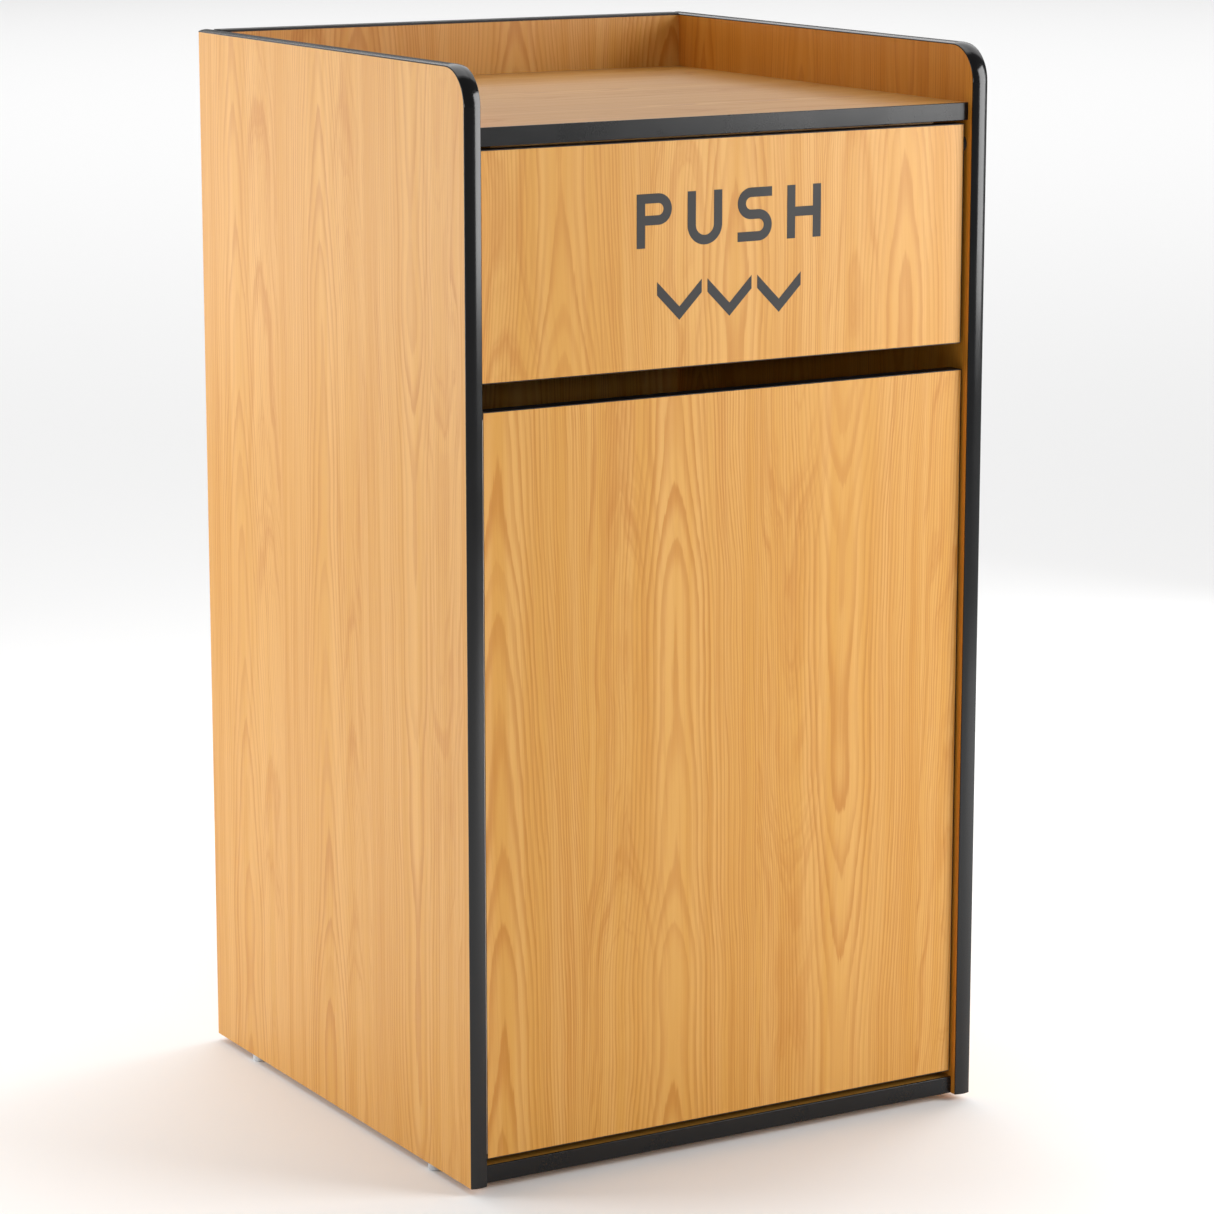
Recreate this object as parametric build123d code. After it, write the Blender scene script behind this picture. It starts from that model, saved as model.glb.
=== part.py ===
"""Laminate drop cabinet with a push flap over a slot, a side-hung door below, a raised rail round the top
and a loose bin inside.

Frame: +Z up, X across the width, the front faces -Y. The origin is the middle of the footprint on the floor.
Sizes are in millimetres.
"""

import os
from math import cos, radians

from build123d import *

# Overall size
WIDTH = 635.0
DEPTH = 625.0
HEIGHT = 1178.0

# Boards and their edging
BOARD = 19.0
CROWN = 3.0
SIDE_SHOULDER = 1.1
SIDE_ROUNDING = 1.0
SHELF_SHOULDER = 2.8
SHELF_ROUNDING = 0.8
TONGUE = 1.8
TONGUE_DEPTH = 9.0
GROOVE = 2.0
GROOVE_DEPTH = 10.0
CORNER_R = 38.0
BAND = 1.0
ARRIS = 0.4
FIT = 0.05

# How far the front edges of the boards stand behind the side boards' front edge
SHELF_RECESS = 10.0
LEAF_RECESS = 8.0

# Heights above the floor
GLIDE_H = 8.0
DOOR_BOTTOM = 34.0
DOOR_TOP = 828.0
FLAP_BOTTOM = 856.5
FLAP_TOP = 1093.0
DECK_TOP = 1115.5

# Planes worked out from the sizes above
HALF = WIDTH / 2
INNER = HALF - BOARD
SIDE_X = HALF - BOARD / 2
FRONT = -DEPTH / 2
BOARD_FRONT = FRONT + CROWN
BACK = DEPTH / 2
BACK_INNER = BACK - BOARD
SIDE_TOP = HEIGHT - CROWN
BASE_TOP = GLIDE_H + BOARD
DECK_BOTTOM = DECK_TOP - BOARD
SHELF_FRONT = BOARD_FRONT + SHELF_RECESS
LEAF_FRONT = BOARD_FRONT + LEAF_RECESS
LEAF_BACK = LEAF_FRONT + BOARD

# Flap and its pivots
FLAP_GAP = 4.0
FLAP_HALF = INNER - FLAP_GAP
PIVOT_DROP = 22.0
PIVOT_Y = (LEAF_FRONT + LEAF_BACK) / 2
PIVOT_Z = FLAP_TOP - PIVOT_DROP
PIN_R = 4.0
PIN_IN_FLAP = 40.0
PIN_IN_BUSH = 10.0
PIN_CHAMFER = 0.6
RUNNING = 0.06
BUSH_R = 6.0
BUSH_DEPTH = 12.0
BUSH_END = 1.0
FLANGE_R = 9.0
FLANGE = 3.0
FLANGE_CHAMFER = 0.5

# Flap stop
BATTEN_HALF = 270.0
BATTEN_HEIGHT = 13.5
BATTEN_DEPTH = 20.0
BUMPER_R = 4.0
BUMPER_H = 3.5
BUMPER_X = 200.0
BUMPER_DOME = 2.0
STOP_GAP = 0.5
BATTEN_FRONT = LEAF_BACK + STOP_GAP + BUMPER_H
BATTEN_BOTTOM = DECK_BOTTOM - BATTEN_HEIGHT
BATTEN_SCREW_INSET = 30.0
BATTEN_SCREW_LENGTH = 21.5

# Sign on the flap
SIGN_THICK = 0.2
SIGN_CAP = 56.0
SIGN_STROKE = 10.0
SIGN_LETTER = 42.0
SIGN_PITCH = 61.0
SIGN_UPPER_Z = 1011.0
SIGN_LOWER_Z = 927.0
BOWL_SHARE = 0.58
CHEVRON_HALF = 27.0
CHEVRON_THICK = 14.0

# Door and its continuous hinge
DOOR_HINGE_GAP = 5.0
DOOR_GAP = 2.0
DOOR_LEFT = -INNER + DOOR_HINGE_GAP
DOOR_RIGHT = INNER - DOOR_GAP
HINGE_X = -INNER + DOOR_HINGE_GAP / 2
HINGE_Y = LEAF_FRONT - 0.4
KNUCKLE_R = 2.2
HINGE_PIN_R = 1.2
HINGE_LEAF = 1.0
HINGE_LEAF_END = LEAF_BACK - 1.5
DOOR_OUTER_LEAF = DOOR_LEFT - HINGE_LEAF
HINGE_MARGIN = 7.0
KNUCKLES = 20
KNUCKLE_GAP = 0.4
NOTCH = 0.4
HINGE_BOTTOM = DOOR_BOTTOM + HINGE_MARGIN
HINGE_TOP = DOOR_TOP - HINGE_MARGIN
HINGE_SCREWS = 8
HINGE_SCREW_INSET = 33.0
HINGE_SCREW_Y = (HINGE_LEAF_END + LEAF_FRONT) / 2 + 1.5

# Catches behind the free edge of the door
CATCH_Z = (103.0, 763.0)
CATCH_LENGTH = 46.0
CATCH_WIDTH = 14.0
CATCH_DEPTH = 15.0
CATCH_R = 1.5
EAR = 10.0
EAR_THICK = 4.0
STRIKE = 1.5
STRIKE_WIDTH = 12.0
STRIKE_LENGTH = 38.0
STRIKE_R = 3.0
STRIKE_SCREW_REACH = 14.0
CATCH_X = INNER - CATCH_WIDTH / 2
CATCH_FACE = LEAF_BACK + STRIKE + STOP_GAP
POLE = 1.5
POLE_HALF = 10.0
POLE_OFFSET = 3.0
POLE_DEPTH = 11.0
POLE_PROUD = 1.0

# Screws
SCREW_R = 1.5
SCREW_LENGTH = 16.0
SCREW_HEAD_R = 2.8
SCREW_HEAD_H = 1.3
PAN_R = 1.6
PAN_LENGTH = 13.0
PAN_HEAD_R = 3.2
PAN_HEAD_H = 2.2

# Knock-down fittings
CAM_R = 7.5
CAM_DEPTH = 13.5
CAM_SETBACK = 34.0
CAM_SLOT_ROOM = 0.4
BOLT_THREAD = (2.5, 11.0)
BOLT_SHANK = (3.5, 24.0)
BOLT_NECK = (2.0, 7.0)
BOLT_HEAD = (3.4, 4.0)
DOWEL_R = 4.0
DOWEL_IN_SIDE = 10.0
DOWEL_IN_EDGE = 20.0
SHELF_CAM_Y = (-250.0, 245.0)
SHELF_DOWEL_Y = (-185.0, 180.0)
BACK_CAM_Z = (173.0, 593.0, 1013.0)
BACK_DOWEL_Z = (233.0, 953.0)
BLIND_END = 0.3

# Floor glides
GLIDE_R = 9.0
GLIDE_INSET = 95.0
GLIDE_DOME = 2.0
NAIL_R = 1.2
NAIL_LENGTH = 20.0
NAIL_IN_GLIDE = 3.0

# Bin
BIN_HEIGHT = 650.0
BIN_TOP = 490.0
BIN_FOOT = 410.0
BIN_WALL = 4.0
BIN_FLOOR = 5.0
BIN_CORNER = 55.0
BIN_LIP = 9.0
BIN_LIP_HEIGHT = 24.0
BIN_LIP_R = 6.0
BIN_Y = (LEAF_BACK + BACK_INNER) / 2

SIDES = {"left": -1, "right": 1}
OUT = "parts"


def block(low, high):
    """A box between two opposite corners."""
    size = [b - a for a, b in zip(low, high)]
    middle = [(a + b) / 2 for a, b in zip(low, high)]
    return Pos(*middle) * Box(*size)


def rod(start, direction, radius, length):
    """A cylinder that starts at a point and runs along a direction."""
    plane = Plane(start, z_dir=direction)
    return plane * Cylinder(radius, length, align=(Align.CENTER, Align.CENTER, Align.MIN))


def along(start, direction, distance):
    """The point a distance from start along an axis direction."""
    return tuple(s + distance * d for s, d in zip(start, direction))


def turned(start, direction, steps):
    """Cylinders of (radius, length) one after another on one axis, as one solid."""
    body = None
    for radius, length in steps:
        piece = rod(start, direction, radius, length)
        body = piece if body is None else body + piece
        start = along(start, direction, length)
    return body


def cross_recess(start, direction, size, depth):
    """The cross-shaped driver recess in a screw or cam head."""
    plane = Plane(start, z_dir=direction)
    bars = Box(size, size / 4, 2 * depth) + Box(size / 4, size, 2 * depth)
    return plane * bars


def group(pieces):
    """Several separate solids as one node."""
    return Compound([solid for piece in pieces for solid in piece.solids()])


# Edging

def edging_section(shoulder, rounding):
    """Edging in section: u across the board's thickness, v outwards. A strip on a tongue. Its face rises
    from shoulder at the edges, which are rounded, to CROWN in the middle."""
    half = BOARD / 2
    outline = Line((-half, 0), (-half, shoulder))
    outline += ThreePointArc((-half, shoulder), (0, CROWN), (half, shoulder))
    outline += Line((half, shoulder), (half, 0))
    outline += Line((half, 0), (-half, 0))
    strip = make_face(outline)
    strip = fillet(strip.vertices().group_by(Axis.Y)[-1], rounding)
    tongue = Pos(0, -TONGUE_DEPTH / 2) * Rectangle(TONGUE, TONGUE_DEPTH)
    return strip + tongue


def groove_section():
    """The groove that takes the edging's tongue."""
    return Pos(0, -GROOVE_DEPTH / 2 + 0.5) * Rectangle(GROOVE, GROOVE_DEPTH + 1)


def side_path(x):
    """The edge line of a side board: up the front, round the corner and back along the top."""
    foot = (x, BOARD_FRONT, GLIDE_H)
    bend_low = (x, BOARD_FRONT, SIDE_TOP - CORNER_R)
    bend_high = (x, BOARD_FRONT + CORNER_R, SIDE_TOP)
    tail = (x, BACK, SIDE_TOP)
    lean = CORNER_R * (1 - cos(radians(45)))
    bend_mid = (x, BOARD_FRONT + lean, SIDE_TOP - lean)
    return Line(foot, bend_low) + ThreePointArc(bend_low, bend_mid, bend_high) + Line(bend_high, tail)


def swept_on_side(section, side):
    """A section carried along the edge line of one side board."""
    x = side * SIDE_X
    start = Plane((x, BOARD_FRONT, GLIDE_H), x_dir=(-1, 0, 0), z_dir=(0, 0, 1))
    return sweep(start * section, path=side_path(x))


EDGE_LINES = {
    "deck": ((0, SHELF_FRONT, DECK_TOP - BOARD / 2), (0, -1, 0)),
    "base": ((0, SHELF_FRONT, GLIDE_H + BOARD / 2), (0, -1, 0)),
    "back": ((0, BACK - BOARD / 2, SIDE_TOP), (0, 0, 1)),
}


def carried_across(section, name):
    """A section carried along X on the edge of the deck, the base or the back."""
    middle, outwards = EDGE_LINES[name]
    plane = Plane(middle, x_dir=Vector(outwards).cross(Vector(1, 0, 0)), z_dir=(1, 0, 0))
    return extrude(plane * section, INNER, both=True)


# Knock-down fittings: each one is (side, y, z, direction that the cam faces)

def shelf_level(z):
    """The four cams of the deck or the base."""
    return [(side, y, z, (0, 0, -1)) for side in SIDES.values() for y in SHELF_CAM_Y]


CAMS = {
    "deck": shelf_level(DECK_TOP - BOARD / 2),
    "base": shelf_level(GLIDE_H + BOARD / 2),
    "back": [(side, BACK - BOARD / 2, z, (0, 1, 0)) for side in SIDES.values() for z in BACK_CAM_Z],
}
DOWELS = {
    "deck": [(side, y, DECK_TOP - BOARD / 2) for side in SIDES.values() for y in SHELF_DOWEL_Y],
    "base": [(side, y, GLIDE_H + BOARD / 2) for side in SIDES.values() for y in SHELF_DOWEL_Y],
    "back": [(side, BACK - BOARD / 2, z) for side in SIDES.values() for z in BACK_DOWEL_Z],
}


def cam_centre(place):
    """The middle of a cam's open face."""
    side, y, z, faces = place
    return along((side * (INNER - CAM_SETBACK), y, z), faces, BOARD / 2)


def cam_bolt(place):
    """A bolt screwed into the side board, with its head in the cam."""
    side, y, z, _ = place
    start = (side * (INNER + BOLT_THREAD[1]), y, z)
    return turned(start, (-side, 0, 0), (BOLT_THREAD, BOLT_SHANK, BOLT_NECK, BOLT_HEAD))


def cam_lock(place):
    """A cam lock with a driver recess and the slot that grips the bolt head."""
    side, y, z, faces = place
    inward = tuple(-f for f in faces)
    face = cam_centre(place)
    body = rod(face, inward, CAM_R - FIT, CAM_DEPTH)
    slot_radius = BOLT_HEAD[0] + CAM_SLOT_ROOM
    slot = rod((side * INNER, y, z), (-side, 0, 0), slot_radius, CAM_SETBACK + slot_radius)
    return body - slot - cross_recess(face, faces, 8.0, 2.0)


def cam_cuts(name):
    """What the cams and dowels of a board take out of that board."""
    cuts = []
    for place in CAMS[name]:
        side, y, z, faces = place
        face = cam_centre(place)
        inward = tuple(-f for f in faces)
        cuts.append(rod(face, inward, CAM_R, CAM_DEPTH + BLIND_END))
        cuts.append(rod((side * INNER, y, z), (-side, 0, 0), BOLT_SHANK[0] + FIT, CAM_SETBACK - CAM_R / 2))
    for side, y, z in DOWELS[name]:
        cuts.append(rod((side * INNER, y, z), (-side, 0, 0), DOWEL_R + FIT, DOWEL_IN_EDGE + BLIND_END))
    return cuts


def dowel(place):
    """A dowel, half in the side board and half in the edge of the board that meets it."""
    side, y, z = place
    return rod((side * (INNER + DOWEL_IN_SIDE), y, z), (-side, 0, 0), DOWEL_R, DOWEL_IN_SIDE + DOWEL_IN_EDGE)


# Screws

def countersunk(start, direction, clearance=0.0):
    """A small countersunk wood screw. start is the middle of its flat head. With a clearance, its hole."""
    upright = (Align.CENTER, Align.CENTER, Align.MIN)
    head = Cone(SCREW_HEAD_R + clearance, SCREW_R + clearance, SCREW_HEAD_H, align=upright)
    screw = Plane(start, z_dir=direction) * head
    screw += rod(start, direction, SCREW_R + clearance, SCREW_LENGTH + clearance)
    return screw if clearance else screw - cross_recess(start, direction, 2.6, 0.6)


def pan_head(start, direction):
    """A pan-head wood screw. start is the middle of the head's underside."""
    back = tuple(-d for d in direction)
    head = rod(start, back, PAN_HEAD_R, PAN_HEAD_H)
    head = fillet(head.edges().group_by(Axis(start, back))[-1], 1.0)
    screw = rod(start, direction, PAN_R, PAN_LENGTH) + head
    return screw - cross_recess(along(start, back, PAN_HEAD_H), direction, 3.4, 1.0)


# Side boards, back, deck and base

def glide_places():
    """The middle of each glide, as (x, y)."""
    rows = (BOARD_FRONT + GLIDE_INSET, BACK - GLIDE_INSET)
    return [(side * SIDE_X, y) for side in SIDES.values() for y in rows]


def hinge_screw_places(x):
    """Where the screws of one hinge leaf start, evenly spaced up its height."""
    low = HINGE_BOTTOM + HINGE_SCREW_INSET
    span = HINGE_TOP - HINGE_SCREW_INSET - low
    return [(x, HINGE_SCREW_Y, low + span * i / (HINGE_SCREWS - 1)) for i in range(HINGE_SCREWS)]


def catch_screw_places(x):
    """The axes of the two screws of each catch, through its housing's ears, at a given x."""
    y = CATCH_FACE + CATCH_DEPTH / 2
    reach = (CATCH_LENGTH - EAR) / 2
    return [(x, y, z + step) for z in CATCH_Z for step in (-reach, reach)]


def side_board(side):
    """A side board: rounded front top corner, grooved for its edging, bored for everything fixed to it."""
    inner, outer = sorted((side * INNER, side * HALF))
    board = block((inner, BOARD_FRONT, GLIDE_H), (outer, BACK, SIDE_TOP))
    corner = board.edges().filter_by(Axis.X).group_by(Axis.Z)[-1].sort_by(Axis.Y)[0]
    board = fillet(corner, CORNER_R)
    rear = board.edges().filter_by(Axis.Z).group_by(Axis.Y)[-1]
    board = chamfer(rear, ARRIS)
    cuts = [swept_on_side(groove_section(), side)]
    bores = [(PIVOT_Y, PIVOT_Z, BUSH_R, BUSH_DEPTH)]
    for name in EDGE_LINES:
        bores += [(y, z, *BOLT_THREAD) for at, y, z, _ in CAMS[name] if at == side]
        bores += [(y, z, DOWEL_R, DOWEL_IN_SIDE) for at, y, z in DOWELS[name] if at == side]
    for y, z, radius, depth in bores:
        cuts.append(rod((side * INNER, y, z), (side, 0, 0), radius + FIT, depth + BLIND_END))
    nails = [(x, y, GLIDE_H) for x, y in glide_places() if x * side > 0]
    cuts += [rod(nail, (0, 0, 1), NAIL_R + FIT, NAIL_LENGTH) for nail in nails]
    if side == SIDES["left"]:
        cuts += frame_screws(FIT)
    else:
        depth = PAN_LENGTH - EAR_THICK + BLIND_END
        cuts += [rod(place, (1, 0, 0), PAN_R + FIT, depth) for place in catch_screw_places(INNER)]
    return board - cuts


def back_board():
    """The back board, between the side boards from the floor to the top of the rail."""
    board = block((-INNER, BACK_INNER, GLIDE_H), (INNER, BACK, SIDE_TOP))
    return board - carried_across(groove_section(), "back") - cam_cuts("back")


def deck_board():
    """The board that trays stand on, bored underneath for the batten's screws."""
    board = block((-INNER, SHELF_FRONT, DECK_BOTTOM), (INNER, BACK_INNER, DECK_TOP))
    depth = BATTEN_SCREW_LENGTH - BATTEN_HEIGHT + BLIND_END
    bores = [rod(place, (0, 0, 1), SCREW_R + FIT, depth) for place in batten_screw_places(DECK_BOTTOM)]
    return board - carried_across(groove_section(), "deck") - cam_cuts("deck") - bores


def base_board():
    """The board that the bin stands on."""
    board = block((-INNER, SHELF_FRONT, GLIDE_H), (INNER, BACK_INNER, BASE_TOP))
    return board - carried_across(groove_section(), "base") - cam_cuts("base")


def edge_band(left, right, bottom, top, cuts=()):
    """A thin band round all four edges of the flap or the door."""
    outer = block((left, LEAF_FRONT, bottom), (right, LEAF_BACK, top))
    outer = chamfer(outer.edges().filter_by(Axis.Y), BAND / 2)
    inner = block((left + BAND, LEAF_FRONT - 1, bottom + BAND), (right - BAND, LEAF_BACK + 1, top - BAND))
    return outer - inner - list(cuts)


def leaf_board(left, right, bottom, top):
    """The board inside that band."""
    return block((left + BAND, LEAF_FRONT, bottom + BAND), (right - BAND, LEAF_BACK, top - BAND))


# Flap

def pin_bores():
    """The bores in the flap's ends that hold its pivot pins."""
    return [rod((side * (FLAP_HALF + 1), PIVOT_Y, PIVOT_Z), (-side, 0, 0), PIN_R + FIT, PIN_IN_FLAP + 1.5)
            for side in SIDES.values()]


def flap_board():
    """The flap's board."""
    return leaf_board(-FLAP_HALF, FLAP_HALF, FLAP_BOTTOM, FLAP_TOP) - pin_bores()


def flap_edge_band():
    """The flap's band."""
    return edge_band(-FLAP_HALF, FLAP_HALF, FLAP_BOTTOM, FLAP_TOP, pin_bores())


def pivot_pin(side):
    """A steel pin fixed in the end of the flap, with its free end in the bush."""
    start = (side * (FLAP_HALF - PIN_IN_FLAP), PIVOT_Y, PIVOT_Z)
    length = PIN_IN_FLAP + FLAP_GAP + PIN_IN_BUSH
    pin = rod(start, (side, 0, 0), PIN_R, length)
    return chamfer(pin.edges().filter_by(GeomType.CIRCLE), PIN_CHAMFER)


def pivot_bush(side):
    """A flanged bush in the side board that the pin turns in."""
    face = (side * (INNER - FLANGE), PIVOT_Y, PIVOT_Z)
    body = turned(face, (side, 0, 0), ((FLANGE_R, FLANGE), (BUSH_R, BUSH_DEPTH)))
    rim = body.edges().filter_by(GeomType.CIRCLE).group_by(Axis(face, (side, 0, 0)))[0]
    body = chamfer(rim, FLANGE_CHAMFER)
    return body - rod(face, (side, 0, 0), PIN_R + RUNNING, FLANGE + PIN_IN_BUSH + BUSH_END)


def batten_screw_places(z):
    """The axes of the batten's screws, at a given height."""
    reach = BATTEN_HALF - BATTEN_SCREW_INSET
    return [(x, BATTEN_FRONT + BATTEN_DEPTH / 2, z) for x in (-reach, 0, reach)]


def flap_stop_batten():
    """A batten under the deck, just behind the flap's top edge, that stops it from swinging outwards."""
    back = BATTEN_FRONT + BATTEN_DEPTH
    batten = block((-BATTEN_HALF, BATTEN_FRONT, BATTEN_BOTTOM), (BATTEN_HALF, back, DECK_BOTTOM))
    batten = chamfer(batten.edges().filter_by(Axis.X), ARRIS)
    return batten - [countersunk(place, (0, 0, 1), FIT) for place in batten_screw_places(BATTEN_BOTTOM)]


def batten_screws():
    """The long screws that hold the batten to the deck."""
    screws = []
    for place in batten_screw_places(BATTEN_BOTTOM):
        screws.append(countersunk(place, (0, 0, 1)) + rod(place, (0, 0, 1), SCREW_R, BATTEN_SCREW_LENGTH))
    return group(screws)


def flap_bumpers():
    """Two small domed pads on the batten that the flap rests against."""
    pads = []
    for x in (-BUMPER_X, BUMPER_X):
        start = (x, BATTEN_FRONT, (BATTEN_BOTTOM + FLAP_TOP) / 2)
        pad = rod(start, (0, -1, 0), BUMPER_R, BUMPER_H)
        pads.append(fillet(pad.edges().filter_by(GeomType.CIRCLE).sort_by(Axis.Y)[0], BUMPER_DOME))
    return group(pads)


def letter(name):
    """A plain upright capital, SIGN_LETTER wide and SIGN_CAP high, centred on the origin."""
    s, w, h = SIGN_STROKE, SIGN_LETTER, SIGN_CAP
    stem = Pos(-w / 2 + s / 2, 0) * Rectangle(s, h)
    if name == "H":
        return stem + mirror(stem, Plane.YZ) + Rectangle(w, s)
    if name == "U":
        bowl = w / 2
        low = -h / 2 + bowl
        ring = Pos(0, low) * (Circle(bowl) - Circle(bowl - s))
        ring &= Pos(0, low - bowl) * Rectangle(w, 2 * bowl)
        legs = Pos(-w / 2 + s / 2, (low + h / 2) / 2) * Rectangle(s, h / 2 - low)
        return ring + legs + mirror(legs, Plane.YZ)
    if name == "P":
        tall = BOWL_SHARE * h
        bowl = tall / 2
        middle = h / 2 - bowl
        right = w / 2 - bowl
        ring = Pos(right, middle) * (Circle(bowl) - Circle(bowl - s))
        ring &= Pos(right + bowl, middle) * Rectangle(2 * bowl, tall)
        arms = Pos((right - w / 2 + s) / 2, 0) * Rectangle(right + w / 2 - s, s)
        upper = Pos(0, h / 2 - s / 2) * arms
        lower = Pos(0, h / 2 - tall + s / 2) * arms
        return stem + ring + upper + lower
    outer = (h + s) / 4
    turn = Circle(outer) - Circle(outer - s)
    turn &= Pos(-outer / 2, 0) * Rectangle(outer, 2 * outer)
    bar = Pos(outer / 2, h / 2 - s / 2) * Rectangle(w - outer, s)
    upper = Pos(outer - w / 2, outer - s / 2) * turn + bar
    return upper + upper.rotate(Axis.Z, 180) + Rectangle(w - 2 * outer, s)


def chevron():
    """A down-pointing chevron, the lower row's repeated mark."""
    half, thick = CHEVRON_HALF, CHEVRON_THICK
    points = ((-half, half), (0, 0), (half, half), (half, half - thick), (0, -thick), (-half, half - thick))
    return Pos(0, (thick - half) / 2) * make_face(Polyline(*points, close=True))


def flap_sign():
    """Raised film lettering on the face of the flap: the word PUSH over three chevrons."""
    marks = []
    for place, name in enumerate("PUSH"):
        marks.append(Pos((place - 1.5) * SIGN_PITCH, SIGN_UPPER_Z) * letter(name))
    for place in (-1, 0, 1):
        marks.append(Pos(place * SIGN_PITCH, SIGN_LOWER_Z) * chevron())
    face = Plane((0, LEAF_FRONT, 0), x_dir=(1, 0, 0), z_dir=(0, -1, 0))
    return group([extrude(face * mark, SIGN_THICK) for mark in marks])


# Door

def door_screws(clearance=0.0):
    """The screws that hold the hinge's leaf to the door's edge. With a clearance, their holes."""
    return [countersunk(place, (1, 0, 0), clearance) for place in hinge_screw_places(DOOR_OUTER_LEAF)]


def frame_screws(clearance=0.0):
    """The screws that hold the other leaf to the side board. With a clearance, their holes."""
    return [countersunk(place, (-1, 0, 0), clearance) for place in hinge_screw_places(-INNER + HINGE_LEAF)]


def strike_screws(z, clearance=0.0):
    """The two screws of one strike plate. With a clearance, their holes."""
    places = [(CATCH_X, LEAF_BACK + STRIKE, z + step) for step in (-STRIKE_SCREW_REACH, STRIKE_SCREW_REACH)]
    return [countersunk(place, (0, -1, 0), clearance) for place in places]


def door_board():
    """The door's board, bored for its hinge and its strike plates."""
    board = leaf_board(DOOR_LEFT, DOOR_RIGHT, DOOR_BOTTOM, DOOR_TOP)
    return board - door_screws(FIT) - [hole for z in CATCH_Z for hole in strike_screws(z, FIT)]


def door_edge_band():
    """The door's band."""
    return edge_band(DOOR_LEFT, DOOR_RIGHT, DOOR_BOTTOM, DOOR_TOP, door_screws(FIT))


def knuckles(first):
    """Every second knuckle of the hinge, from the first one given. Returns (bottom, top) of each."""
    pitch = (HINGE_TOP - HINGE_BOTTOM) / KNUCKLES
    return [(HINGE_BOTTOM + i * pitch, HINGE_BOTTOM + (i + 1) * pitch) for i in range(first, KNUCKLES, 2)]


def hinge_leaf(x, own, other, screws):
    """A hinge leaf: a plate with its own knuckles, notched where the other leaf's knuckles turn."""
    half_gap = KNUCKLE_GAP / 2
    far = x + HINGE_LEAF
    plate = block((x, HINGE_Y, HINGE_BOTTOM + half_gap), (far, HINGE_LEAF_END, HINGE_TOP - half_gap))
    for low, high in other:
        plate -= block((x, HINGE_Y, low - half_gap), (far, HINGE_Y + KNUCKLE_R + NOTCH, high + half_gap))
    for low, high in own:
        plate += rod((HINGE_X, HINGE_Y, low + half_gap), (0, 0, 1), KNUCKLE_R, high - low - KNUCKLE_GAP)
    bore = rod((HINGE_X, HINGE_Y, HINGE_BOTTOM), (0, 0, 1), HINGE_PIN_R + RUNNING, HINGE_TOP - HINGE_BOTTOM)
    return plate - bore - screws


def hinge_pin():
    """The hinge's pin, as long as the hinge."""
    return rod((HINGE_X, HINGE_Y, HINGE_BOTTOM), (0, 0, 1), HINGE_PIN_R, HINGE_TOP - HINGE_BOTTOM)


def catch_poles(z, clearance=0.0):
    """The two steel plates that stand proud of a catch's housing. With a clearance, their pockets."""
    half = POLE_HALF + clearance
    thick = POLE / 2 + clearance
    back = CATCH_FACE + POLE_DEPTH + clearance
    middles = (CATCH_X - POLE_OFFSET, CATCH_X + POLE_OFFSET)
    return [block((x - thick, CATCH_FACE, z - half), (x + thick, back, z + half)) for x in middles]


def catch_magnet(z, clearance=0.0):
    """The magnet between the plates. With a clearance, its pocket."""
    half = POLE_HALF + clearance
    reach = POLE_OFFSET - POLE / 2
    front = CATCH_FACE + POLE_PROUD
    back = CATCH_FACE + POLE_DEPTH + clearance
    return block((CATCH_X - reach, front, z - half), (CATCH_X + reach, back, z + half))


def catch_housing(z):
    """A magnetic catch's plastic housing, with an ear at each end and a pocket for its plates and magnet."""
    front, back = CATCH_FACE + POLE_PROUD, CATCH_FACE + CATCH_DEPTH
    bottom, top = z - CATCH_LENGTH / 2, z + CATCH_LENGTH / 2
    body = block((INNER - CATCH_WIDTH, front, bottom), (INNER, back, top))
    edges = body.edges().filter_by(Axis.Y) + body.edges().filter_by(Axis.Z)
    body = fillet(edges.filter_by(lambda e: e.center().X < CATCH_X), CATCH_R)
    for low, high in ((bottom, bottom + EAR), (top - EAR, top)):
        body -= block((INNER - CATCH_WIDTH, front, low), (INNER - EAR_THICK, back, high))
    places = catch_screw_places(INNER - EAR_THICK)
    holes = [rod(place, (1, 0, 0), PAN_R + FIT, EAR_THICK) for place in places]
    return body - holes - catch_poles(z, FIT) - catch_magnet(z, FIT)


def strike_plate(z):
    """The steel plate on the back of the door that the catch holds."""
    half_w, half_l = STRIKE_WIDTH / 2, STRIKE_LENGTH / 2
    back = LEAF_BACK + STRIKE
    plate = block((CATCH_X - half_w, LEAF_BACK, z - half_l), (CATCH_X + half_w, back, z + half_l))
    plate = fillet(plate.edges().filter_by(Axis.Y), STRIKE_R)
    return plate - strike_screws(z, FIT)


# Glides and bin

def glide(x, y):
    """A round plastic glide under a side board, with a domed foot and a recess for its nail."""
    foot = rod((x, y, 0), (0, 0, 1), GLIDE_R, GLIDE_H)
    foot = fillet(foot.edges().filter_by(GeomType.CIRCLE).sort_by(Axis.Z)[0], GLIDE_DOME)
    return foot - rod((x, y, GLIDE_H - NAIL_IN_GLIDE), (0, 0, 1), NAIL_R + FIT, NAIL_IN_GLIDE)


def glide_nails():
    """The nails that hold the glides."""
    bottom = GLIDE_H - NAIL_IN_GLIDE
    return group([rod((x, y, bottom), (0, 0, 1), NAIL_R, NAIL_LENGTH) for x, y in glide_places()])


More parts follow.
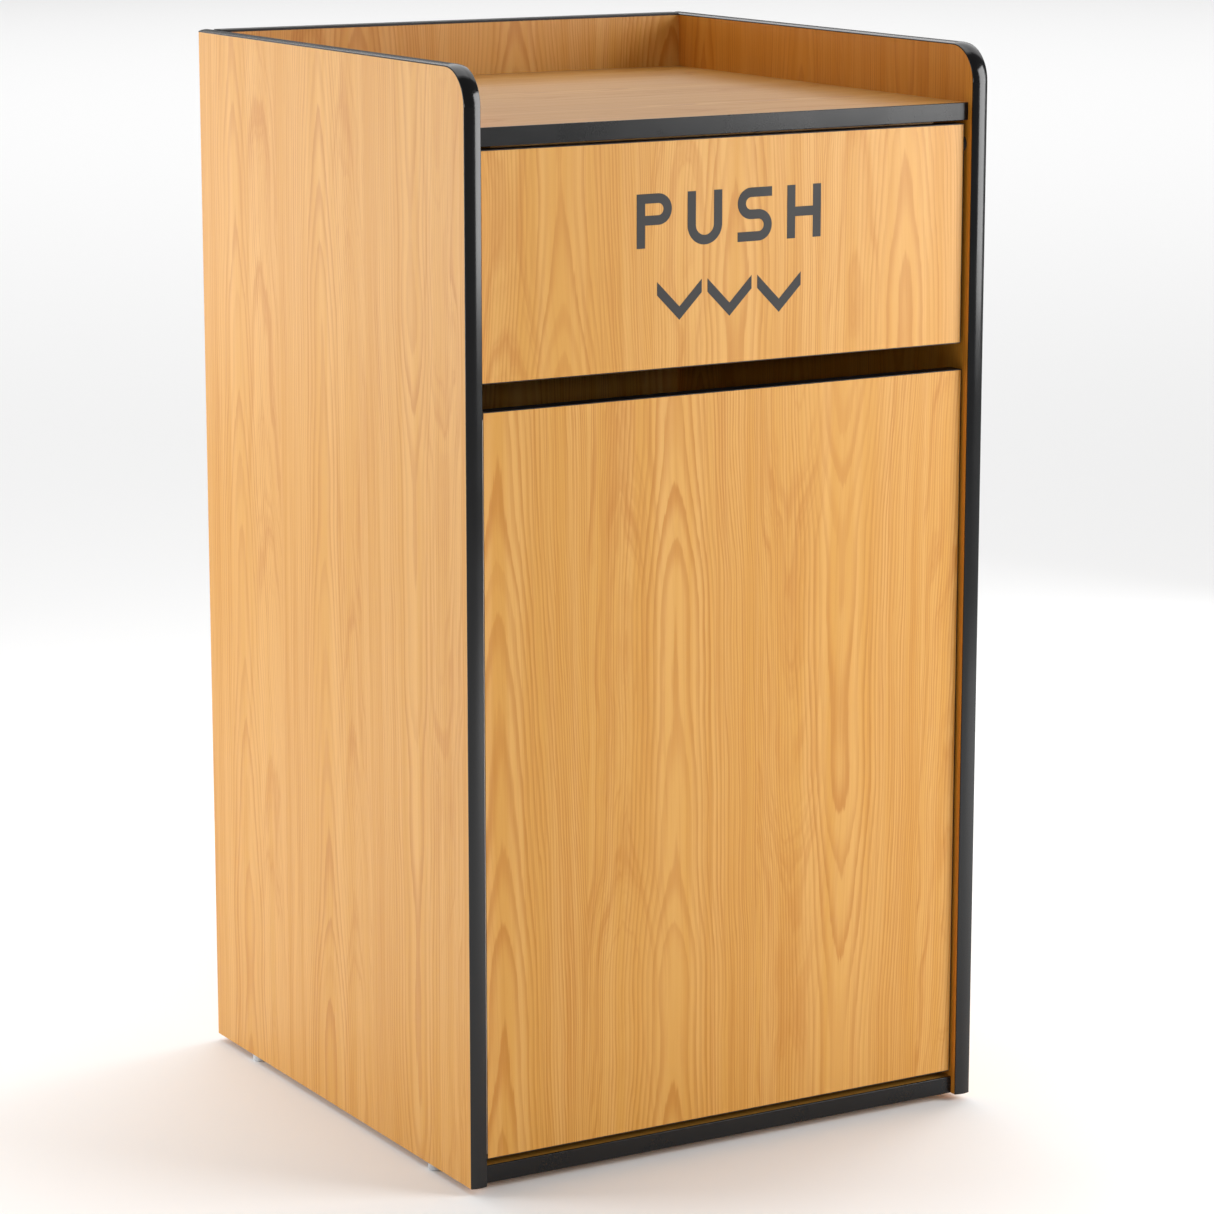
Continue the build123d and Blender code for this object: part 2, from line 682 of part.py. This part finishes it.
def bin_shell():
    """A square tapered bin with rounded corners and a turned-down lip."""
    def layer(z, width, corner):
        return Pos(0, BIN_Y, z) * RectangleRounded(width, width, corner)

    def width_at(z):
        return BIN_FOOT + (BIN_TOP - BIN_FOOT) * (z - BASE_TOP) / BIN_HEIGHT

    top = BASE_TOP + BIN_HEIGHT
    floor = BASE_TOP + BIN_FLOOR
    shell = loft([layer(BASE_TOP, BIN_FOOT, BIN_CORNER), layer(top, BIN_TOP, BIN_CORNER)])
    lip = extrude(layer(top - BIN_LIP_HEIGHT, BIN_TOP + 2 * BIN_LIP, BIN_CORNER + BIN_LIP), BIN_LIP_HEIGHT)
    lip = fillet(lip.faces().sort_by(Axis.Z)[-1].edges(), BIN_LIP_R)
    hollow = BIN_LIP - BIN_WALL
    under = layer(top - BIN_LIP_HEIGHT, BIN_TOP + 2 * hollow, BIN_CORNER + hollow)
    under = extrude(under, BIN_LIP_HEIGHT - BIN_WALL)
    inside = loft([
        layer(floor, width_at(floor) - 2 * BIN_WALL, BIN_CORNER - BIN_WALL),
        layer(top + 1, BIN_TOP - 2 * BIN_WALL, BIN_CORNER - BIN_WALL),
    ])
    return (lip - under) + shell - inside


def nodes():
    """Every node's name and shape."""
    catch_places = catch_screw_places(INNER - EAR_THICK)
    made = {
        "back_board": back_board(),
        "deck_board": deck_board(),
        "base_board": base_board(),
        "cam_locks": group([cam_lock(p) for places in CAMS.values() for p in places]),
        "cam_bolts": group([cam_bolt(p) for places in CAMS.values() for p in places]),
        "dowels": group([dowel(p) for places in DOWELS.values() for p in places]),
        "flap_stop_batten": flap_stop_batten(),
        "batten_screws": batten_screws(),
        "flap_bumpers": flap_bumpers(),
        "flap_board": flap_board(),
        "flap_edge_band": flap_edge_band(),
        "flap_sign": flap_sign(),
        "door_board": door_board(),
        "door_edge_band": door_edge_band(),
        "hinge_frame_leaf": hinge_leaf(-INNER, knuckles(0), knuckles(1), frame_screws(FIT)),
        "hinge_door_leaf": hinge_leaf(DOOR_OUTER_LEAF, knuckles(1), knuckles(0), door_screws(FIT)),
        "hinge_pin": hinge_pin(),
        "hinge_frame_screws": group(frame_screws()),
        "hinge_door_screws": group(door_screws()),
        "catch_screws": group([pan_head(place, (1, 0, 0)) for place in catch_places]),
        "strike_screws": group([screw for z in CATCH_Z for screw in strike_screws(z)]),
        "glide_nails": glide_nails(),
        "bin": bin_shell(),
    }
    for name in EDGE_LINES:
        made[f"{name}_edging"] = carried_across(edging_section(SHELF_SHOULDER, SHELF_ROUNDING), name)
    for name, side in SIDES.items():
        made[f"side_board_{name}"] = side_board(side)
        made[f"side_edging_{name}"] = swept_on_side(edging_section(SIDE_SHOULDER, SIDE_ROUNDING), side)
        made[f"pivot_pin_{name}"] = pivot_pin(side)
        made[f"pivot_bush_{name}"] = pivot_bush(side)
    for name, z in zip(("lower", "upper"), CATCH_Z):
        made[f"catch_housing_{name}"] = catch_housing(z)
        made[f"catch_poles_{name}"] = group(catch_poles(z))
        made[f"catch_magnet_{name}"] = catch_magnet(z)
        made[f"strike_plate_{name}"] = strike_plate(z)
    for x, y in glide_places():
        across = "left" if x < 0 else "right"
        end = "front" if y < 0 else "rear"
        made[f"glide_{end}_{across}"] = glide(x, y)
    return made


os.makedirs(OUT, exist_ok=True)
for node, shape in nodes().items():
    export_step(shape, f"{OUT}/{node}.step")
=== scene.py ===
"""Looks for the laminate drop cabinet: wood-grain laminate, black edging, steel and plastic fittings,
a studio floor and lights, and the camera.

Everything is in metres, in the row frame: +Z up, X across the width, the front faces -Y.
"""

from math import pi, radians

import bpy
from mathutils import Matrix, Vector

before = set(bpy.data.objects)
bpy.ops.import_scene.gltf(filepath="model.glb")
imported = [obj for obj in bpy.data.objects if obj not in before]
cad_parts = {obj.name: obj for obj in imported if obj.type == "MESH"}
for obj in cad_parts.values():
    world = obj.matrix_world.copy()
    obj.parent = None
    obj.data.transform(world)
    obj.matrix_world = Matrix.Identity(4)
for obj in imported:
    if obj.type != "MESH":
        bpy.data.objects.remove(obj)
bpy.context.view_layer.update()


class Shader:
    """Builds one material's node tree. A value can be a number, a colour or another node's output."""

    def __init__(self, name):
        self.material = bpy.data.materials.new(name)
        self.material.use_nodes = True
        self.tree = self.material.node_tree
        self.bsdf = self.tree.nodes["Principled BSDF"]

    def node(self, kind, inputs=None, **settings):
        made = self.tree.nodes.new(kind)
        for key, value in settings.items():
            setattr(made, key, value)
        for socket, value in (inputs or {}).items():
            self.feed(made.inputs[socket], value)
        return made

    def feed(self, socket, value):
        if isinstance(value, bpy.types.NodeSocket):
            self.tree.links.new(value, socket)
        else:
            socket.default_value = value

    def maths(self, operation, a, b=0.0):
        return self.node("ShaderNodeMath", {0: a, 1: b}, operation=operation).outputs[0]

    def add(self, a, b):
        return self.maths("ADD", a, b)

    def times(self, a, b):
        return self.maths("MULTIPLY", a, b)

    def spread(self, value, low, high, to_low=0.0, to_high=1.0):
        """Maps a range of value to another range, clamped, with eased ends."""
        inputs = {"Value": value, "From Min": low, "From Max": high, "To Min": to_low, "To Max": to_high}
        return self.node("ShaderNodeMapRange", inputs, interpolation_type="SMOOTHSTEP").outputs["Result"]

    def coordinates(self):
        """The object's own coordinates, in metres."""
        return self.node("ShaderNodeTexCoord").outputs["Object"]

    def axes(self):
        return self.node("ShaderNodeSeparateXYZ", {0: self.coordinates()}).outputs

    def point(self, x, y, z):
        return self.node("ShaderNodeCombineXYZ", {0: x, 1: y, 2: z}).outputs[0]

    def noise(self, point, detail, roughness=0.5, scale=1.0):
        inputs = {"Vector": point, "Scale": scale, "Detail": detail, "Roughness": roughness}
        return self.node("ShaderNodeTexNoise", inputs).outputs["Fac"]

    def mix(self, share, a, b, blend="MIX"):
        # The node has a socket of each name for each data type, so the colour ones go by number
        made = self.node("ShaderNodeMix", data_type="RGBA", blend_type=blend)
        self.feed(made.inputs[0], share)
        self.feed(made.inputs[6], a)
        self.feed(made.inputs[7], b)
        return made.outputs[2]

    def bump(self, height, distance, strength):
        inputs = {"Height": height, "Distance": distance, "Strength": strength}
        self.feed(self.bsdf.inputs["Normal"], self.node("ShaderNodeBump", inputs).outputs[0])

    def surface(self, **sockets):
        for name, value in sockets.items():
            self.feed(self.bsdf.inputs[name.replace("_", " ")], value)


def shade(colour, share):
    """A colour made darker or lighter by a share, still opaque."""
    return tuple(min(1.0, part * share) for part in colour[:3]) + (1,)


# Wood-grain laminate. Colours are linear and lengths are in metres. ACROSS and ALONG are noise cells per
# metre, except that RINGS_ALONG is rings per metre. SWELL and RAGGED are in rings. A RANGE is what spread
# reads from and to, and then what it gives from and to, where that is fixed and isn't 0 to 1.

LIGHT = (0.735, 0.392, 0.100, 1)
TAN = (0.665, 0.322, 0.050, 1)
DARK = (0.480, 0.158, 0.001, 1)
# Painted shade: the tint that darkens and reddens the side boards' inner faces, which sit in shade
INNER_FACE_SHADE = (1.0, 0.80, 0.42, 1)
LAMINATE_IOR = 1.50

FLITCH = 0.21
FLITCH_STEP = 3.71
TURNED_RANGE = (0.78, 0.80, 1.0, -1.0)
SWAY = 0.022
SWAY_ALONG = 2.2
WOBBLE = 0.011
WOBBLE_ACROSS = 34.0
WOBBLE_ALONG = 5.0
TIP_ROUNDING = 0.0000016

RINGS_BY_DISTANCE = 22.0
RINGS_BY_SQUARE = 1750.0
RINGS_ALONG = 9.0
SWELL = 5.0
SWELL_ALONG = 3.6
RAGGED = 0.34
RAGGED_ACROSS = 420.0
RAGGED_ALONG = 16.0
LINE_RISE_RANGE = (0.28, 0.86)
LINE_FALL_RANGE = (0.88, 1.0, 1.0, 0.0)
WEIGHT_BY_RING = 0.9
WEIGHT_ALONG = 2.0
WEIGHT_RANGE = (0.30, 0.66, 0.25, 1.0)

STREAKS_ACROSS = 330.0
STREAKS_BY_RING = 1.4
STREAKS_ALONG = 3.0
PORES_ACROSS = 1300.0
PORES_ALONG = 36.0
BROAD_ACROSS = 46.0
BROAD_ALONG = 0.9
CALM_RANGE = (0.008, 0.060, 0.35, 1.0)

BROAD_RANGE = (0.34, 0.66, 0.1, 0.9)
LINE_SHARE = 0.64
STREAK_RANGE = (0.44, 0.74)
STREAK_SHARE = 0.58
PORE_RANGE = (0.55, 0.78)
PORE_SHARE = 0.12
GLOSS_RANGE = (0.3, 0.8, 0.36, 0.44)
PORE_HEIGHT = 0.6
STREAK_HEIGHT = 0.4
SHADE_MARGIN = 0.001


class Veneer:
    """The pattern of plain-sawn veneer on one board: side-by-side flitches, each with nested arches up its
    middle and straight grain between. across and along are node outputs, in metres, and centre is where
    across has the middle of one flitch."""

    def __init__(self, shader, across, along, centre, seed):
        self.shader = shader
        self.seed = seed
        self.across = shader.add(across, 0.5 * FLITCH - centre)
        self.along = along
        self.count = shader.times(self.across, 1 / FLITCH)
        self.flitch = shader.add(shader.maths("FLOOR", self.count), seed)
        self.start = shader.times(self.flitch, FLITCH_STEP)

    def noise(self, place, along_cells, detail=2.0, roughness=0.5):
        """Noise that differs from flitch to flitch: place is the place across, in cells."""
        s = self.shader
        return s.noise(s.point(place, self.start, s.times(self.along, along_cells)), detail, roughness)

    def across_noise(self, across_cells, along_cells, roughness=0.5):
        place = self.shader.times(self.across, across_cells)
        return self.noise(place, along_cells, roughness=roughness)

    def half(self):
        """The distance from the middle of the flitch, which wanders."""
        s = self.shader
        sway = s.noise(s.point(self.start, 0.0, s.times(self.along, SWAY_ALONG)), detail=1.0)
        wobble = self.across_noise(WOBBLE_ACROSS, WOBBLE_ALONG)
        sideways = s.times(s.add(s.maths("FRACT", self.count), -0.5), FLITCH)
        sideways = s.add(sideways, s.times(s.add(sway, -0.5), SWAY))
        sideways = s.add(sideways, s.times(s.add(wobble, -0.5), WOBBLE))
        return s.maths("SQRT", s.add(s.times(sideways, sideways), TIP_ROUNDING))

    def rings(self, half):
        """The number of the growth ring, counted out from the middle and along the board. The arches of
        most flitches point one way, and those of the others the other way."""
        s = self.shader
        inputs = {"W": self.flitch}
        chance = s.node("ShaderNodeTexWhiteNoise", inputs, noise_dimensions="1D").outputs["Value"]
        turned = s.spread(chance, *TURNED_RANGE)
        arch = s.add(s.times(half, RINGS_BY_DISTANCE), s.times(s.times(half, half), RINGS_BY_SQUARE))
        swell = s.noise(s.point(self.start, self.seed, s.times(self.along, SWELL_ALONG)), detail=1.0)
        rise = s.add(s.times(s.times(self.along, turned), RINGS_ALONG), s.times(swell, SWELL))
        ragged = self.across_noise(RAGGED_ACROSS, RAGGED_ALONG, roughness=0.6)
        return s.add(s.add(arch, rise), s.times(ragged, RAGGED))

    def line(self, rings):
        """The dark line of each ring: it darkens slowly and ends sharply, and some are fainter."""
        s = self.shader
        saw = s.maths("FRACT", rings)
        line = s.times(s.spread(saw, *LINE_RISE_RANGE), s.spread(saw, *LINE_FALL_RANGE))
        weight = self.noise(s.times(rings, WEIGHT_BY_RING), WEIGHT_ALONG, detail=1.0)
        return s.times(line, s.spread(weight, *WEIGHT_RANGE))

    def streaks(self, rings):
        """Fine stripes that lean with the rings."""
        s = self.shader
        place = s.add(s.times(self.across, STREAKS_ACROSS), s.times(rings, STREAKS_BY_RING))
        return self.noise(place, STREAKS_ALONG, detail=3.0, roughness=0.60)


def laminate(name, across, along, through, centre, seed, tone=1.0, figure=1.0, shade_within=None):
    """Wood-grain laminate on one kind of board. across, along and through name the axes. The pattern counts
    across plus through, so that the grain turns the corner onto the board's edges. A tone under 1 is darker,
    a figure under 1 is fainter, and faces nearer to the cabinet's middle than the given distance get painted
    shade: their colour is multiplied darker and redder, as these inner faces sit in shade."""
    s = Shader(name)
    axis = s.axes()
    veneer = Veneer(s, s.add(axis[across], axis[through]), axis[along], centre, seed)
    half = veneer.half()
    rings = veneer.rings(half)
    line = veneer.line(rings)
    streaks = veneer.streaks(rings)
    pores = veneer.across_noise(PORES_ACROSS, PORES_ALONG, roughness=0.6)
    broad = veneer.across_noise(BROAD_ACROSS, BROAD_ALONG)
    calm = s.spread(half, *CALM_RANGE)

    light, tan, dark = (shade(colour, tone) for colour in (LIGHT, TAN, DARK))
    colour = s.mix(s.spread(broad, *BROAD_RANGE), light, tan)
    colour = s.mix(s.times(line, LINE_SHARE * figure), colour, dark)
    colour = s.mix(s.times(s.spread(streaks, *STREAK_RANGE, 0.0, STREAK_SHARE * figure), calm), colour, dark)
    colour = s.mix(s.spread(pores, *PORE_RANGE, 0.0, PORE_SHARE * figure), colour, dark)
    # Painted shade: inner faces, in the recesses and the gallery, are multiplied darker and redder
    if shade_within is not None:
        distance = s.maths("ABSOLUTE", axis[through])
        painted_shade = s.spread(distance, shade_within - SHADE_MARGIN, shade_within + SHADE_MARGIN, 1.0, 0.0)
        colour = s.mix(painted_shade, colour, INNER_FACE_SHADE, "MULTIPLY")
    s.surface(Base_Color=colour, Roughness=s.spread(streaks, *GLOSS_RANGE))
    s.bsdf.inputs["IOR"].default_value = LAMINATE_IOR
    height = s.add(s.times(pores, PORE_HEIGHT), s.times(streaks, STREAK_HEIGHT))
    s.bump(height, distance=0.00010, strength=0.3)
    return s.material


# Plastic, film, rubber, plain wood and metal

CLOUD_SCALE = 14.0
CLOUD_RANGE = (0.3, 0.7)
GLOSS_VARIATION = 0.12
FINE_GLOSS = 0.06


def plain(name, colour, roughness, bump_scale=900.0, bump_depth=0.00005, variation=0.15, metallic=0.0,
          gloss=0.5):
    """A moulded, rolled or plated surface: a fine even texture, with slight unevenness of tone and gloss."""
    s = Shader(name)
    coordinates = s.coordinates()
    fine = s.noise(coordinates, detail=3.0, roughness=0.6, scale=bump_scale)
    cloudy = s.noise(coordinates, detail=3.0, scale=CLOUD_SCALE)
    low, high = CLOUD_RANGE
    tone = s.mix(s.spread(cloudy, low, high), shade(colour, 1 - variation), shade(colour, 1 + variation))
    duller = roughness * (1 + GLOSS_VARIATION)
    rough = s.spread(cloudy, low, high, roughness * (1 - GLOSS_VARIATION), duller)
    rough = s.add(rough, s.times(s.add(fine, -0.5), FINE_GLOSS))
    s.surface(Base_Color=tone, Roughness=rough, Metallic=metallic)
    s.bsdf.inputs["Specular IOR Level"].default_value = gloss
    s.bump(fine, distance=bump_depth, strength=0.5)
    return s.material


MATERIALS = {
    "side": laminate("laminate_side", "Y", "Z", "X", centre=-0.3025, seed=4.0, figure=0.8, shade_within=0.308),
    "door": laminate("laminate_door", "X", "Z", "Y", centre=-0.3675, seed=12.0),
    "flap": laminate("laminate_flap", "X", "Z", "Y", centre=-0.2915, seed=23.0, figure=0.85),
    "back": laminate("laminate_back", "X", "Z", "Y", centre=0.3725, seed=31.0),
    "level": laminate("laminate_level", "Y", "X", "Z", centre=1.1555, seed=47.0, tone=0.76),
    "edging": plain("edging_pvc", (0.0020, 0.0020, 0.0025), 0.15, 700.0, 0.00002, gloss=0.50),
    "trim": plain("trim_pvc", (0.0035, 0.0035, 0.004), 0.30, 700.0, 0.00002, gloss=0.36),
    "band": plain("band_pvc", (0.006, 0.005, 0.005), 0.45, gloss=0.35),
    "sign": plain("sign_film", (0.030, 0.029, 0.029), 0.50, 1200.0, 0.00002, 0.06, gloss=0.35),
    "steel": plain("zinc_steel", (0.62, 0.62, 0.63), 0.32, 2400.0, 0.00002, 0.08, metallic=1.0),
    "cast": plain("zinc_cast", (0.46, 0.46, 0.46), 0.48, 1300.0, 0.00006, 0.10, metallic=1.0),
    "rubber": plain("bumper_rubber", (0.022, 0.022, 0.022), 0.70),
    "nylon": plain("bush_nylon", (0.020, 0.020, 0.020), 0.45),
    "brown": plain("catch_plastic", (0.13, 0.070, 0.035), 0.42),
    "magnet": plain("magnet_ferrite", (0.07, 0.07, 0.075), 0.60),
    "glide": plain("glide_plastic", (0.56, 0.58, 0.60), 0.40),
    "bin": plain("bin_plastic", (0.17, 0.18, 0.19), 0.52, 420.0, 0.00025, 0.04),
    "dowel": plain("dowel_beech", (0.58, 0.40, 0.24), 0.60, 500.0),
}
# Part of a node's name, and its material. The first entry that fits is used.
FINISHES = [
    ("side_board", "side"), ("deck_board", "level"), ("base_board", "level"), ("back_board", "back"),
    ("flap_board", "flap"), ("door_board", "door"), ("flap_stop_batten", "level"),
    ("side_edging", "edging"), ("edging", "trim"), ("edge_band", "band"), ("flap_sign", "sign"),
    ("flap_bumpers", "rubber"), ("pivot_bush", "nylon"), ("catch_housing", "brown"),
    ("catch_magnet", "magnet"), ("cam_locks", "cast"), ("dowels", "dowel"), ("glide_nails", "steel"),
    ("glide", "glide"), ("bin", "bin"), ("", "steel"),
]


def finish_nodes():
    """Gives every CAD node its material."""
    for name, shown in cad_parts.items():
        finish = next(finish for part, finish in FINISHES if part in name)
        shown.data.materials.clear()
        shown.data.materials.append(MATERIALS[finish])


# Studio

FLOOR_SIZE = 60
FLOOR_WHITE = (0.90, 0.90, 0.90, 1)
SURROUND = 0.2
# Name, place, what it is aimed at, width and height, and strength, which is watts over pi times the area
LIGHTS = [
    ("key", (1.81, -1.88, 1.42), (0.1, -0.3, 0.7), (1.4, 1.8), 7.2),
    ("fill", (-2.0, -3.7, 1.47), (0.0, 0.0, 0.8), (0.6, 0.18), 38.0),
    ("side", (-2.38, 1.20, 0.95), (-0.3, 0.0, 0.7), (1.0, 1.0), 11.2),
    ("side_back", (-0.92, 2.32, 0.9), (-0.3, 0.0, 0.7), (1.0, 0.9), 1.7),
    ("top", (0.25, 1.0, 3.1), (0.25, 0.9, 1.0), (1.6, 3.2), 0.6),
    ("rim", (2.6, 0.9, 1.1), (0.3, 0.0, 0.8), (1.0, 1.6), 4.0),
    ("background", (6.5, 11.5, 9.0), (6.5, 11.5, 0.0), (26.0, 24.0), 1.3),
]


def floor():
    """A plain pale floor."""
    bpy.ops.mesh.primitive_plane_add(size=FLOOR_SIZE, location=(0, 0, 0))
    plane = bpy.context.object
    plane.name = "floor"
    s = Shader("studio_floor")
    s.surface(Base_Color=FLOOR_WHITE, Roughness=0.9)
    s.bsdf.inputs["Specular IOR Level"].default_value = 0.2
    plane.data.materials.append(s.material)


def surround():
    """An even, dim white world, and view colours without a film-like curve."""
    world = bpy.data.worlds.new("studio")
    bpy.context.scene.world = world
    world.use_nodes = True
    background = world.node_tree.nodes["Background"]
    background.inputs["Color"].default_value = (1, 1, 1, 1)
    background.inputs["Strength"].default_value = SURROUND
    bpy.context.scene.view_settings.view_transform = "Standard"


def soft_light(name, place, aim, size, strength):
    """A rectangular soft light that the camera doesn't see."""
    light = bpy.data.lights.new(name, "AREA")
    light.shape = "RECTANGLE"
    light.size, light.size_y = size
    light.energy = strength * pi * size[0] * size[1]
    lamp = bpy.data.objects.new(name, light)
    lamp.location = place
    lamp.rotation_euler = (Vector(aim) - Vector(place)).to_track_quat("-Z", "Y").to_euler()
    lamp.visible_camera = False
    bpy.context.collection.objects.link(lamp)


# The camera's place and turn come from fitting the cabinet's planes to the photograph
CAMERA_PLACE = (-2.2716, -3.9371, 1.4924)
CAMERA_DOWN = 11.812
CAMERA_TURN = -30.293
CAMERA_LENS = 122.7


def camera():
    """A long lens from the front left, a little above the top."""
    data = bpy.data.cameras.new("camera")
    data.lens = CAMERA_LENS
    shot = bpy.data.objects.new("camera", data)
    shot.location = CAMERA_PLACE
    shot.rotation_euler = (radians(90 - CAMERA_DOWN), 0, radians(CAMERA_TURN))
    bpy.context.collection.objects.link(shot)
    bpy.context.scene.camera = shot


camera()
floor()
surround()
for settings in LIGHTS:
    soft_light(*settings)
finish_nodes()
